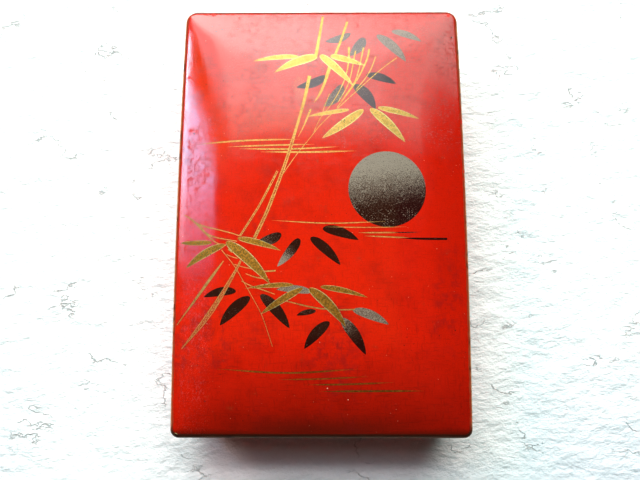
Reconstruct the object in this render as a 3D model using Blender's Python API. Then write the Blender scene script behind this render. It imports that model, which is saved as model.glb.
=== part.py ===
# A lacquered wooden letter box with a lift-off lid: a shallow box and a deep
# overlapping lid whose top is domed like a cushion. All lengths are in metres.
# The origin is the middle of the underside, +Z is up, +Y runs along the length
# and away from someone who reads the picture on the lid, +X is to their right.

import math

import bpy

# Lid, outside
LID_LENGTH = 0.240            # along Y, between the two straight ends
LID_WIDTH = 0.160             # along X, at mid-length
SIDE_BOW = 0.0013             # how far a long side bulges at mid-length
NEAR_CORNER_RADIUS = 0.0046   # plan radius of the two corners at -Y
FAR_CORNER_RADIUS = 0.0068    # plan radius of the two corners at +Y
SHOULDER_RADIUS = 0.003       # rounding between the sides and the edge of the dome
DOME_RISE = 0.0065            # crown above the edge of the top
SKIRT_DEPTH = 0.026           # edge of the top down to the rim of the lid

# Lid, inside
LID_WALL = 0.004
LID_TOP = 0.0042              # thickness of the top, at its edge and at the crown
SEAT_MARGIN = 0.001           # flat ceiling inside the rim that it rests on

# Box below the lid
BODY_HEIGHT = 0.050
BODY_WALL = 0.004
FLOOR_THICKNESS = 0.004
FLOOR_COVE = 0.0025           # rounding between the floor and the walls, inside
FOOT_RADIUS = 0.0015          # rounding around the underside

# Shared
RIM_RADIUS = 0.0008           # rounding of both edges of each rim
LEAST_CORNER_RADIUS = 0.0016  # the tightest corner of any wall
SIDE_CLEARANCE = 0.0006       # between the lid and the box, all round
REST_GAP = 0.0003             # between the lid's ceiling and the box's rim

# How finely the round stretches are divided
CORNER_STEPS = 5
LONG_SIDE_STEPS = 12
SHORT_SIDE_STEPS = 6
SHOULDER_STEPS = 4
RIM_STEPS = 2
COVE_STEPS = 3
DOME_STEPS = 9
CROWN_STRIP_WIDTH = 0.006     # the flat strip that closes each dome

# The dome falls away from the crown as a parabola towards each edge. The two
# slopes meet along the diagonals, in a ridge that fades out up the dome.
RIDGE_SOFTNESS = 0.5

VERMILION = (0.78, 0.012, 0.004, 1.0)
LACQUER_ROUGHNESS = 0.22

# Places that follow from the sizes above
HALF_LENGTH = LID_LENGTH / 2
HALF_WIDTH = LID_WIDTH / 2
BOW_RATE = SIDE_BOW / HALF_LENGTH ** 2
FULL_RISE = DOME_RISE / (1 - RIDGE_SOFTNESS / 2)
EDGE_SLOPE = math.atan(2 * FULL_RISE / HALF_WIDTH)
EDGE_INSET = SHOULDER_RADIUS * (1 - math.sin(EDGE_SLOPE))
CEILING_Z = BODY_HEIGHT + REST_GAP
EDGE_Z = CEILING_Z + LID_TOP
LID_RIM_Z = EDGE_Z - SKIRT_DEPTH
BODY_INSET = LID_WALL + SIDE_CLEARANCE
SEAT_INSET = BODY_INSET + BODY_WALL + SEAT_MARGIN


def corner_points(inset, plan_radius):
    """One corner in plan, from the long side round to the short end, at +X +Y."""
    radius = max(plan_radius - inset, LEAST_CORNER_RADIUS)
    start_y = HALF_LENGTH - inset - radius
    lean = math.atan(2 * BOW_RATE * start_y)
    start_x = HALF_WIDTH - inset - BOW_RATE * start_y ** 2
    centre_x = start_x - radius * math.cos(lean)
    turn = math.pi / 2 - lean
    angles = [lean + turn * step / CORNER_STEPS for step in range(CORNER_STEPS + 1)]
    return [(centre_x + radius * math.cos(a), start_y + radius * math.sin(a)) for a in angles]


def between(start, end, steps):
    """The points strictly between two others on a straight line."""
    return [
        tuple(a + (b - a) * step / steps for a, b in zip(start, end))
        for step in range(1, steps)
    ]


def long_side(near, far, inset):
    """The bowed side between two corner ends, at +X, going towards +Y."""
    heights = [y for _, y in between(near, far, LONG_SIDE_STEPS)]
    return [(HALF_WIDTH - inset - BOW_RATE * y ** 2, y) for y in heights]


def plan_outline(inset):
    """The bowed plan outline set in from the lid's sides, anticlockwise from above."""
    far = corner_points(inset, FAR_CORNER_RADIUS)
    near = [(x, -y) for x, y in reversed(corner_points(inset, NEAR_CORNER_RADIUS))]
    right = near + long_side(near[-1], far[0], inset) + far
    left = [(-x, y) for x, y in reversed(right)]
    return (
        right
        + between(right[-1], left[0], SHORT_SIDE_STEPS)
        + left
        + between(left[-1], right[0], SHORT_SIDE_STEPS)
    )


def dome_height(x, y, half_width, half_length):
    """How far a dome with this plan stands above its edge."""
    half = half_width - BOW_RATE * y ** 2
    across = 1 - (x / half) ** 2
    along = 1 - (max(0.0, abs(y) - (half_length - half_width)) / half_width) ** 2
    blend = RIDGE_SOFTNESS * (across + along)
    lower = min(across, along)
    if blend > 0:
        lower -= max(blend - abs(across - along), 0.0) ** 2 / (4 * blend)
    return FULL_RISE * max(lower, 0.0)


def domed_ring(inset, edge_inset, edge_z):
    """A ring of a dome whose edge is the outline at edge_inset, at height edge_z."""
    half_width = HALF_WIDTH - edge_inset
    half_length = HALF_LENGTH - edge_inset
    return [
        (x, y, edge_z + dome_height(x, y, half_width, half_length))
        for x, y in plan_outline(inset)
    ]


def dome_insets(edge_inset):
    """Evenly spaced insets from a dome's edge to the narrow strip along its crown."""
    room = HALF_WIDTH - edge_inset - CROWN_STRIP_WIDTH / 2
    return [edge_inset + room * step / DOME_STEPS for step in range(DOME_STEPS + 1)]


def level_ring(inset, z):
    return [(x, y, z) for x, y in plan_outline(inset)]


def quarter_turn(steps, start=0.0):
    """Sine and cosine pairs from an angle up to a right angle."""
    turn = math.pi / 2 - start
    angles = [start + turn * step / steps for step in range(steps + 1)]
    return [(math.sin(a), math.cos(a)) for a in angles]


def shoulder_rings():
    """The lid's rounding, which carries on the slope of the dome's edge down to the side."""
    foot_z = EDGE_Z - SHOULDER_RADIUS * math.cos(EDGE_SLOPE)
    edge = domed_ring(EDGE_INSET, EDGE_INSET, EDGE_Z)
    rings = []
    for sine, cosine in quarter_turn(SHOULDER_STEPS, EDGE_SLOPE)[1:]:
        outline = plan_outline(SHOULDER_RADIUS * (1 - sine))
        share = cosine / math.cos(EDGE_SLOPE)
        rings.append([
            (x, y, foot_z + (top - foot_z) * share)
            for (x, y), (_, _, top) in zip(outline, edge)
        ])
    return rings


def rim_rings(outer_inset, inner_inset, rim_z, up):
    """A flat rim with both edges rounded. up is 1 where it faces up, -1 where down."""
    rings = []
    for sine, cosine in quarter_turn(RIM_STEPS):
        rings.append(level_ring(
            outer_inset + RIM_RADIUS * (1 - cosine),
            rim_z - up * RIM_RADIUS * (1 - sine),
        ))
    for sine, cosine in reversed(quarter_turn(RIM_STEPS)):
        rings.append(level_ring(
            inner_inset - RIM_RADIUS * (1 - cosine),
            rim_z - up * RIM_RADIUS * (1 - sine),
        ))
    return rings


def lid_rings():
    """Rings of the lid from its crown, over the outside, to the crown of the ceiling."""
    top = [
        domed_ring(inset, EDGE_INSET, EDGE_Z)
        for inset in reversed(dome_insets(EDGE_INSET))
    ]
    rim = rim_rings(0.0, LID_WALL, LID_RIM_Z, -1)
    seat = [level_ring(LID_WALL, CEILING_Z)]
    ceiling = [
        domed_ring(inset, SEAT_INSET, CEILING_Z)
        for inset in dome_insets(SEAT_INSET)
    ]
    return top + shoulder_rings() + rim + seat + ceiling


def body_rings():
    """Rings of the box from its floor, up the inside and down the outside, to its foot."""
    inner = BODY_INSET + BODY_WALL
    cove = [
        level_ring(
            inner + FLOOR_COVE * (1 - sine),
            FLOOR_THICKNESS + FLOOR_COVE * (1 - cosine),
        )
        for sine, cosine in quarter_turn(COVE_STEPS)
    ]
    rim = list(reversed(rim_rings(BODY_INSET, inner, BODY_HEIGHT, 1)))
    foot = [
        level_ring(
            BODY_INSET + FOOT_RADIUS * (1 - cosine),
            FOOT_RADIUS * (1 - sine),
        )
        for sine, cosine in quarter_turn(RIM_STEPS)
    ]
    return cove + rim + foot


def closing_faces(ring):
    """Faces that close a ring: quads across its width, and a fan at each short end."""
    corner = CORNER_STEPS + 1
    side = 2 * corner + LONG_SIDE_STEPS - 1
    end = SHORT_SIDE_STEPS - 1
    right = ring[:side]
    far_end = ring[side:side + end]
    left = list(reversed(ring[side + end:2 * side + end]))
    near_end = ring[2 * side + end:]
    faces = [
        (right[i], right[i + 1], left[i + 1], left[i])
        for i in range(corner - 1, side - corner)
    ]
    far = right[-corner:] + far_end + list(reversed(left[-corner:]))
    near = list(reversed(left[:corner])) + near_end + right[:corner]
    for fan in (far, near):
        faces += [(fan[0], a, b) for a, b in zip(fan[1:], fan[2:])]
    return faces


def loft(name, rings, material):
    """One closed solid through rings of equal length, closed across both end rings."""
    count = len(rings[0])
    points = [point for ring in rings for point in ring]
    faces = []
    for row in range(len(rings) - 1):
        for i in range(count):
            j = (i + 1) % count
            upper, lower = row * count, (row + 1) * count
            faces.append((upper + i, lower + i, lower + j, upper + j))
    first = list(range(count))
    last = list(range((len(rings) - 1) * count, len(rings) * count))
    faces += closing_faces(first)
    faces += [tuple(reversed(face)) for face in closing_faces(last)]
    mesh = bpy.data.meshes.new(name)
    mesh.from_pydata(points, [], faces)
    mesh.materials.append(material)
    mesh.shade_smooth()
    mesh.set_sharp_from_angle(angle=math.radians(40))
    solid = bpy.data.objects.new(name, mesh)
    bpy.context.scene.collection.objects.link(solid)
    return solid


def lacquer(name):
    material = bpy.data.materials.new(name)
    material.use_nodes = True
    shader = material.node_tree.nodes["Principled BSDF"]
    shader.inputs["Base Color"].default_value = VERMILION
    shader.inputs["Roughness"].default_value = LACQUER_ROUGHNESS
    shader.inputs["Metallic"].default_value = 0.0
    shader.inputs["Coat Weight"].default_value = 0.5
    return material


def main():
    for old in list(bpy.data.objects):
        bpy.data.objects.remove(old, do_unlink=True)
    loft("body", body_rings(), lacquer("body_lacquer"))
    loft("lid", lid_rings(), lacquer("lid_lacquer"))


main()
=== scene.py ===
# The looks of a lacquered wooden letter box: vermilion lacquer outside, black
# inside, and a picture of bamboo, moon and mist in gold, silver and black powder
# on its domed lid. The picture is colour in the surface: its outlines are cut
# into the lid's mesh and stand no higher than the lacquer around them.
# Lengths are in metres, and the picture's own places are in millimetres.

from collections import namedtuple
from functools import partial, partialmethod
import math

import bpy
import numpy as np
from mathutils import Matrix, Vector
from mathutils.geometry import delaunay_2d_cdt


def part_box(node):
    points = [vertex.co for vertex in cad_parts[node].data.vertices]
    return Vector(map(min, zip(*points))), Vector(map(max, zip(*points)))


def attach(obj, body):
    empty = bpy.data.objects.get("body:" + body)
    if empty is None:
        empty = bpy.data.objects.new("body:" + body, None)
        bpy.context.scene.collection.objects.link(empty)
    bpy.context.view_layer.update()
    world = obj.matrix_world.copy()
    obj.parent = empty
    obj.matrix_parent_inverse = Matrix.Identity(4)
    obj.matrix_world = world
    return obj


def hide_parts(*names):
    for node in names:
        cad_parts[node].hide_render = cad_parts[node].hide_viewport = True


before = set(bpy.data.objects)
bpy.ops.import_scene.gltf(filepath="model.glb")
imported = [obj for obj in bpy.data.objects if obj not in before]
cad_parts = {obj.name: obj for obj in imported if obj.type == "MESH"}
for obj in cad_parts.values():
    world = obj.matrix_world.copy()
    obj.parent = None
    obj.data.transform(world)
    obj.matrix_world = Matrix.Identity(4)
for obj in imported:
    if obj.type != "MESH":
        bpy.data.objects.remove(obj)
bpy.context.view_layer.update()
LID_LOW, LID_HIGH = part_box("lid")
_, BODY_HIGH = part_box("body")

MM = 0.001
QUARTER = math.pi / 2

# Sizes that the solids give
HALF_WIDTH = LID_HIGH.x
HALF_LENGTH = LID_HIGH.y
CROWN_Z = LID_HIGH.z
LID_RIM_Z = LID_LOW.z
BODY_HEIGHT = BODY_HIGH.z
BODY_INSET = HALF_LENGTH - BODY_HIGH.y

# Sizes of the rounded and hidden forms
SIDE_BOW = 0.0013
NEAR_CORNER_RADIUS = 0.0046
FAR_CORNER_RADIUS = 0.0068
SHOULDER_RADIUS = 0.003
DOME_RISE = 0.0065
RIDGE_SOFTNESS = 0.5
LID_WALL = 0.004
BODY_WALL = 0.004
SEAT_MARGIN = 0.001
REST_GAP = 0.0003
FLOOR_THICKNESS = 0.004
FLOOR_COVE = 0.0025
FOOT_RADIUS = 0.0015
RIM_RADIUS = 0.0008
LEAST_CORNER_RADIUS = 0.0016

# How finely the forms are divided
CORNER_STEPS = 14
LONG_SIDE_STEPS = 110
SHORT_SIDE_STEPS = 72
SHOULDER_STEPS = 12
ROUND_STEPS = 4
CEILING_STEPS = 14
GRID_MM = 2.4
SHARP_ANGLE = 40    # degrees
NORMAL_STEP = 0.0004
GRID_MARGIN_MM = 1.2

# The finishes of the faces
LACQUER, INSIDE, WORN_EDGE = "lacquer", "inside", "worn edge"
# the second gold finish is a darker copy of the gold: painted shade for the lower leaves and the mist at
# the reader's end
GOLD, SHADED_GOLD, DUST = "gold", "shaded gold", "dust"
POWDER, WARM_POWDER, MOON = "powder", "warm powder", "moon"

# Places that follow from the sizes
BOW_RATE = SIDE_BOW / HALF_LENGTH ** 2
FULL_RISE = DOME_RISE / (1 - RIDGE_SOFTNESS / 2)
EDGE_SLOPE = math.atan(2 * FULL_RISE / HALF_WIDTH)
EDGE_INSET = SHOULDER_RADIUS * (1 - math.sin(EDGE_SLOPE))
EDGE_Z = CROWN_Z - DOME_RISE
CEILING_Z = BODY_HEIGHT + REST_GAP
SEAT_INSET = BODY_INSET + BODY_WALL + SEAT_MARGIN


# The plan outline and the dome

def corner_points(inset, plan_radius):
    """One corner in plan, from the long side round to the short end, at +X +Y."""
    radius = max(plan_radius - inset, LEAST_CORNER_RADIUS)
    start_y = HALF_LENGTH - inset - radius
    lean = math.atan(2 * BOW_RATE * start_y)
    start_x = HALF_WIDTH - inset - BOW_RATE * start_y ** 2
    centre_x = start_x - radius * math.cos(lean)
    turn = QUARTER - lean
    angles = [lean + turn * step / CORNER_STEPS for step in range(CORNER_STEPS + 1)]
    return [(centre_x + radius * math.cos(a), start_y + radius * math.sin(a)) for a in angles]


def between(start, end, steps):
    """The points strictly between two others on a straight line."""
    return [
        tuple(a + (b - a) * step / steps for a, b in zip(start, end))
        for step in range(1, steps)
    ]


def plan_outline(inset):
    """The bowed plan outline set in from the lid's sides, anticlockwise from above."""
    far = corner_points(inset, FAR_CORNER_RADIUS)
    near = [(x, -y) for x, y in reversed(corner_points(inset, NEAR_CORNER_RADIUS))]
    side = [
        (HALF_WIDTH - inset - BOW_RATE * y ** 2, y)
        for _, y in between(near[-1], far[0], LONG_SIDE_STEPS)
    ]
    right = near + side + far
    left = [(-x, y) for x, y in reversed(right)]
    return (
        right
        + between(right[-1], left[0], SHORT_SIDE_STEPS)
        + left
        + between(left[-1], right[0], SHORT_SIDE_STEPS)
    )


def dome_height(x, y, edge_inset=EDGE_INSET):
    """How far the dome whose edge lies at that inset stands above its edge. Past the edge
    it carries on downwards."""
    half_width = HALF_WIDTH - edge_inset
    half_length = HALF_LENGTH - edge_inset
    half = half_width - BOW_RATE * y ** 2
    across = 1 - (x / half) ** 2
    along = 1 - (max(0.0, abs(y) - (half_length - half_width)) / half_width) ** 2
    blend = RIDGE_SOFTNESS * (across + along)
    lower = min(across, along)
    if blend > 0:
        lower -= max(blend - abs(across - along), 0.0) ** 2 / (4 * blend)
    return FULL_RISE * lower


def dome_normal(x, y):
    step = NORMAL_STEP
    slope_x = (dome_height(x + step, y) - dome_height(x - step, y)) / (2 * step)
    slope_y = (dome_height(x, y + step) - dome_height(x, y - step)) / (2 * step)
    return Vector((-slope_x, -slope_y, 1.0)).normalized()


# Profiles: each row is (inset, height, turn), where turn is how far the surface
# has turned from facing up: a quarter turn is a wall that faces outwards.

def rounding(centre_inset, centre_z, radius, start, end, steps=ROUND_STEPS):
    """Rows round an arc. Its centre's inset is measured like the outline's."""
    turns = [start + (end - start) * step / steps for step in range(steps + 1)]
    return [
        (centre_inset - radius * math.sin(t), centre_z + radius * math.cos(t), t)
        for t in turns
    ]


def rim_rows(outer, inner, z, facing):
    """Rows over a rim from its outer to its inner wall. facing is 0 up, pi down."""
    up = 1 if facing == 0 else -1
    outer_arc = rounding(outer + RIM_RADIUS, z - up * RIM_RADIUS, RIM_RADIUS, QUARTER, facing)
    inner_end = -QUARTER if up == 1 else 3 * QUARTER
    inner_arc = rounding(inner - RIM_RADIUS, z - up * RIM_RADIUS, RIM_RADIUS, facing, inner_end)
    return outer_arc + inner_arc


def outline_normals(outline):
    """The direction that each point of an outline faces, in plan."""
    before = outline[-1:] + outline[:-1]
    after = outline[1:] + outline[:1]
    return [Vector((by - ay, ax - bx)).normalized() for (ax, ay), (bx, by) in zip(before, after)]


def ring_from_row(row):
    """A level ring of points and of the directions that they face."""
    inset, z, turn = row
    outline = plan_outline(inset)
    points = [(x, y, z) for x, y in outline]
    normals = [
        Vector((n.x * math.sin(turn), n.y * math.sin(turn), math.cos(turn)))
        for n in outline_normals(outline)
    ]
    return points, normals


NO_NORMAL = Vector((0, 0, 0))    # the faces' own shading is used


def new_object(name, data):
    made = bpy.data.objects.new(name, data)
    bpy.context.scene.collection.objects.link(made)
    return made


class Shell:
    """A mesh gathered from rings, with its normals, its finishes and its worn edges."""

    def __init__(self):
        self.points = []
        self.normals = []
        self.worn = []
        self.faces = []
        self.finishes = []

    def add_ring(self, points, normals=None, worn=0.0):
        """worn is one value for the ring, or one for each of its points."""
        first = len(self.points)
        self.points += points
        self.normals += normals or [NO_NORMAL] * len(points)
        self.worn += worn if isinstance(worn, list) else [worn] * len(points)
        return list(range(first, first + len(points)))

    def join_worn(self, upper, lower):
        """Joins two rings with lacquer, or with worn edge where it is worn through."""
        first = len(self.faces)
        self.join(upper, lower, LACQUER)
        for i, face in enumerate(self.faces[first:], first):
            if sum(self.worn[corner] for corner in face) / len(face) > WORN_THROUGH:
                self.finishes[i] = WORN_EDGE

    def join(self, upper, lower, finish):
        count = len(upper)
        for i in range(count):
            j = (i + 1) % count
            self.faces.append((upper[i], lower[i], lower[j], upper[j]))
            self.finishes.append(finish)

    def close(self, ring, finish, facing):
        """A flat face over a ring; facing is 1 up or -1 down."""
        self.faces.append(tuple(ring if facing == 1 else reversed(ring)))
        self.finishes.append(finish)

    def made(self, name, materials, paint=None):
        """A smooth-shaded object with the shell's normals."""
        order = list(materials)
        mesh = bpy.data.meshes.new(name)
        mesh.from_pydata(self.points, [], self.faces)
        for finish in order:
            mesh.materials.append(materials[finish])
        mesh.polygons.foreach_set("material_index", [order.index(f) for f in self.finishes])
        mesh.polygons.foreach_set("use_smooth", [True] * len(self.faces))
        wear = mesh.attributes.new("worn", "FLOAT", "POINT")
        wear.data.foreach_set("value", self.worn)
        if paint is not None:
            corners = mesh.attributes.new("paint", "FLOAT_VECTOR", "CORNER")
            corners.data.foreach_set("vector", np.array(paint, float).ravel())
        mesh.update()
        mesh.set_sharp_from_angle(angle=math.radians(SHARP_ANGLE))
        mesh.normals_split_custom_set_from_vertices([tuple(n) for n in self.normals])
        return new_object(name, mesh)


# The picture. Each shape has a finish, an outline in millimetres on the lid's plan,
# more places that the mesh keeps, and a function that gives (tone, outward) at a place.

Shape = namedtuple("Shape", "finish outline spine shade")
LEAF_STEPS = 18
STROKE_STEP_MM = 2.0
POINT_MM = 0.03        # half the width of a stroke's point
LEAF_POINT_MM = 0.05   # the same for a leaf's shading
MERGE_MM = 1e-5        # places nearer than this are one


def leaf(base, tip, width, bend=0.0, blunt=0.55, point=0.8, finish=GOLD, tones=(1.0, 1.0)):
    """A bamboo leaf: round at its base, drawn out to its tip, bowed to its left by bend.
    tones are the powder's tones at the base and the tip: 0 is black, 1 is silver."""
    bx, by = base
    length = math.dist(base, tip)
    ux, uy = (tip[0] - bx) / length, (tip[1] - by) / length
    widest = blunt / (blunt + point)
    full = widest ** blunt * (1 - widest) ** point

    def half_width(s):
        return width / 2 * s ** blunt * (1 - s) ** point / full

    def place(s, side):
        off = 4 * bend * s * (1 - s) + side * half_width(s)
        return (bx + ux * length * s - uy * off, by + uy * length * s + ux * off)

    def shade(x, y):
        dx, dy = x - bx, y - by
        s = min(max((dx * ux + dy * uy) / length, 0.0), 1.0)
        off = dy * ux - dx * uy - 4 * bend * s * (1 - s)
        outward = min(abs(off) / max(half_width(s), LEAF_POINT_MM), 1.0)
        return (tones[0] + (tones[1] - tones[0]) * s, outward)

    shares = [0.5 - 0.5 * math.cos(math.pi * i / LEAF_STEPS) for i in range(1, LEAF_STEPS)]
    right = [place(s, -1) for s in shares]
    left = [place(s, 1) for s in reversed(shares)]
    outline = [base] + right + [tip] + left
    spine = [place(s, 0) for s in shares[1:-1]]
    return Shape(finish, outline, spine, shade)


grey_leaf = partial(leaf, finish=WARM_POWDER)
dark_leaf = partial(leaf, finish=POWDER, tones=(0.0, 0.0))
# leaves in the darker gold, which paints their shade
shaded_gold_leaf = partial(leaf, blunt=0.5, finish=SHADED_GOLD)


def smooth_path(points):
    """Places on a smooth curve through the points, with the share of its length at each."""
    ends = [2 * np.array(points[0]) - points[1], *map(np.array, points)]
    ends.append(2 * np.array(points[-1]) - points[-2])
    places = []
    for a, b, c, d in zip(ends, ends[1:], ends[2:], ends[3:]):
        count = max(2, int(np.linalg.norm(c - b) / STROKE_STEP_MM) + 1)
        for t in np.arange(count) / count:
            places.append(0.5 * (
                2 * b + (c - a) * t
                + (2 * a - 5 * b + 4 * c - d) * t ** 2
                + (3 * b - a - 3 * c + d) * t ** 3
            ))
    places.append(ends[-2])
    places = np.array(places)
    runs = np.concatenate([[0], np.cumsum(np.linalg.norm(np.diff(places, axis=0), axis=1))])
    return places, runs / runs[-1]


def stroke(points, widths, finish=GOLD, shift=0.0, tone=1.0):
    """A brush stroke through points. widths are spread evenly along it, and shift moves
    it to its left. An end that is 0 wide is a point."""
    places, shares = smooth_path(points)
    tangents = np.gradient(places, axis=0)
    tangents /= np.linalg.norm(tangents, axis=1)[:, None]
    lefts = np.stack([-tangents[:, 1], tangents[:, 0]], axis=1)
    half = np.interp(shares, np.linspace(0, 1, len(widths)), widths) / 2
    half = np.maximum(half, POINT_MM)
    middle = places + lefts * shift
    left = middle + lefts * half[:, None]
    right = middle - lefts * half[:, None]
    outline = [tuple(p) for p in (*right, *reversed(left))]
    return Shape(finish, outline, (), lambda x, y: (tone, 0.0))


def edged_stroke(points, widths, edge):
    """A stem: a body of gold dust between two solid gold edges."""
    body = stroke(points, widths, DUST)
    gap = np.mean(widths) / 2 - edge / 2
    edges = [stroke(points, [edge], GOLD, side * gap) for side in (-1, 1)]
    return [body] + edges


MOON_CENTRE = (35.9, 11.6)
MOON_RADIUS = 21.2
MOON_STEPS = 72
MOON_DUSK = (0.16, 12.0, 13.0)    # rise of the silver's lower limit, its height, its softness


def moon():
    """A full moon, silver above and black below, with a soft limit between them."""
    cx, cy = MOON_CENTRE
    rise, height, softness = MOON_DUSK

    def shade(x, y):
        tone = (y - height - rise * (x - cx)) / softness
        return (min(max(0.5 + 0.5 * tone, 0.0), 1.0), 0.0)

    turns = [2 * math.pi * i / MOON_STEPS for i in range(MOON_STEPS)]
    outline = [(cx + MOON_RADIUS * math.cos(t), cy + MOON_RADIUS * math.sin(t)) for t in turns]
    return Shape(MOON, outline, (), shade)


def mist(x0, y0, x1, y1, width, sag=0.0, finish=GOLD):
    """A long level line, pointed at both ends."""
    middle = ((x0 + x1) / 2, (y0 + y1) / 2 - sag)
    return stroke([(x0, y0), middle, (x1, y1)], [0, width, width, width, 0], finish)


# The powdered leaves behind the upper spray, and a breath of gold beside them
FAR_LEAVES = [
    stroke([(-13.5, 78.0), (-12.0, 70.0), (-13.0, 61.0)], [0, 7.0, 6.0, 0], DUST, tone=0.35),
    grey_leaf((16.9, 104.4), (2.3, 98.8), 4.8, 1.1, blunt=0.7, tones=(0.5, 0.5)),
    grey_leaf((24.6, 101.2), (16.2, 89.6), 6.2, 0.8, tones=(0.45, 0.55)),
    grey_leaf((31.8, 103.2), (47.9, 86.3), 5.8, 1.2, tones=(0.7, 0.75)),
    grey_leaf((40.3, 105.8), (57.0, 99.2), 4.4, 1.0, tones=(0.8, 0.8)),
    grey_leaf((2.8, 77.0), (-13.8, 70.2), 5.2, 1.2, tones=(0.2, 0.15)),
    grey_leaf((12.0, 71.6), (1.4, 58.6), 6.4, 1.4, tones=(0.5, 0.55)),
    grey_leaf((18.2, 71.8), (30.2, 57.3), 6.4, 1.4, tones=(0.35, 0.05)),
    grey_leaf((25.3, 77.9), (41.9, 72.6), 4.8, 1.0, tones=(0.2, 0.1)),
]

# The cane that climbs from the lower spray to the top, joint by joint
UPPER_STEMS = [
    *edged_stroke([(-43.6, -14.2), (-34.6, 0.5), (-29.6, 10.0), (-23.9, 21.6)], [1.1, 1.2], 0.3),
    *edged_stroke(
        [(-35.8, -15.6), (-28.9, 0.0), (-21.7, 20.0), (-18.4, 30.0), (-15.5, 40.0)],
        [1.9, 1.9, 1.7, 1.6], 0.45),
    stroke([(-15.5, 40.0), (-12.7, 50.0), (-9.6, 62.0), (-6.6, 77.2)], [1.6, 1.4, 1.7, 1.9]),
    stroke([(-4.1, 60.9), (-1.4, 65.2), (0.9, 70.2), (3.0, 76.5), (5.3, 84.5)],
           [0.2, 1.3, 1.4, 1.9, 1.9]),
    stroke([(7.6, 89.5), (11.3, 100.0), (15.0, 112.4)], [1.5, 1.3, 1.3]),
    stroke([(-3.4, 88.0), (-2.2, 95.0), (-0.7, 105.0), (0.9, 116.0)], [1.9, 1.7, 1.5, 1.2]),
]

# The fine branches that fan out above the cane
UPPER_FAN = [
    stroke([(15.7, 95.3), (15.4, 86.0), (14.0, 78.0), (12.0, 72.0), (8.6, 65.0),
            (4.2, 58.0), (0.0, 52.6), (-2.8, 47.0), (-4.2, 43.2)], [1.2, 0.8, 0.6, 0.5, 0.45, 0.4, 0.3]),
    stroke([(19.4, 92.7), (18.1, 85.6), (16.7, 78.0), (14.2, 70.0), (9.4, 61.3)], [0.8, 0.6, 0.5, 0.4]),
    stroke([(24.0, 95.0), (22.4, 87.0), (20.9, 80.0), (18.6, 73.4), (13.0, 64.5)], [0.8, 0.6, 0.6, 0.5]),
    stroke([(27.2, 94.0), (26.3, 89.0), (24.0, 83.0), (20.9, 76.3), (17.4, 70.4), (8.7, 58.0)],
           [1.0, 0.9, 0.7, 0.6, 0.5]),
    stroke([(30.8, 89.2), (28.4, 82.4), (25.6, 77.0), (22.6, 72.8), (19.4, 68.8)], [0.6, 0.5, 0.5]),
    stroke([(42.8, 88.6), (35.0, 82.4), (27.6, 75.6), (20.0, 68.2), (12.0, 60.4),
            (0.4, 48.8), (-5.2, 41.6), (-13.4, 31.0), (-21.0, 19.8)], [0.5, 0.45, 0.4, 0.4, 0.4, 0.4]),
    stroke([(4.6, 66.3), (2.9, 61.6), (1.5, 57.6), (0.7, 54.6)], [0.4]),
    stroke([(-5.7, 57.2), (-7.4, 53.2), (-9.1, 48.6), (-11.4, 43.6), (-12.8, 41.0)],
           [1.2, 1.0, 0.8, 0.5, 0.3]),
]

# The gold leaves of the upper spray
UPPER_LEAVES = [
    leaf((-12.9, 89.1), (-38.6, 86.6), 2.9, -0.9, blunt=0.4),
    leaf((-2.6, 89.3), (-26.4, 79.4), 5.2, -1.3, blunt=0.4, point=0.9),
    leaf((-0.6, 90.2), (17.9, 71.2), 4.6, 0.7, blunt=0.4, point=0.85),
    leaf((5.2, 89.6), (24.8, 83.5), 3.7, 0.5, blunt=0.4, point=0.9),
    leaf((15.4, 56.8), (-7.4, 52.9), 2.3, -0.2, blunt=0.45),
    leaf((23.4, 56.9), (0.5, 40.2), 4.9, 0.2, blunt=0.5),
    leaf((27.2, 57.6), (46.4, 38.2), 5.2, 1.0, blunt=0.5, point=0.85),
    leaf((31.4, 58.2), (54.8, 52.0), 3.2, 0.7, blunt=0.5, point=0.95),
]

# The level lines of mist above the moon
UPPER_MIST = [
    mist(-69.5, 38.2, -11.6, 39.6, 0.9, -0.4),
    mist(-52.3, 35.9, -3.5, 36.7, 0.8),
    mist(-45.2, 34.6, 9.9, 35.3, 0.9, 0.9),
    mist(-33.4, 32.6, 19.4, 32.9, 1.0, 0.5),
]

# The level lines that pass in front of the moon's foot; two of them end in black
MOON_MIST = [
    mist(-26.6, -6.0, 34.6, -6.6, 0.6, 1.4),
    mist(2.0, -9.7, 46.2, -9.4, 0.5, 0.4),
    mist(19.8, -12.9, 44.0, -12.6, 0.7),
    stroke([(38.0, -12.6), (46.0, -12.5), (54.0, -12.1)], [0, 0.6, 0.5, 0], POWDER, tone=0.25),
    mist(23.4, -14.6, 50.0, -15.6, 0.7),
    stroke([(42.0, -15.6), (55.0, -15.8), (68.2, -15.5)], [0, 1.1, 1.3, 1.2], POWDER, tone=0.0),
]

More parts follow.
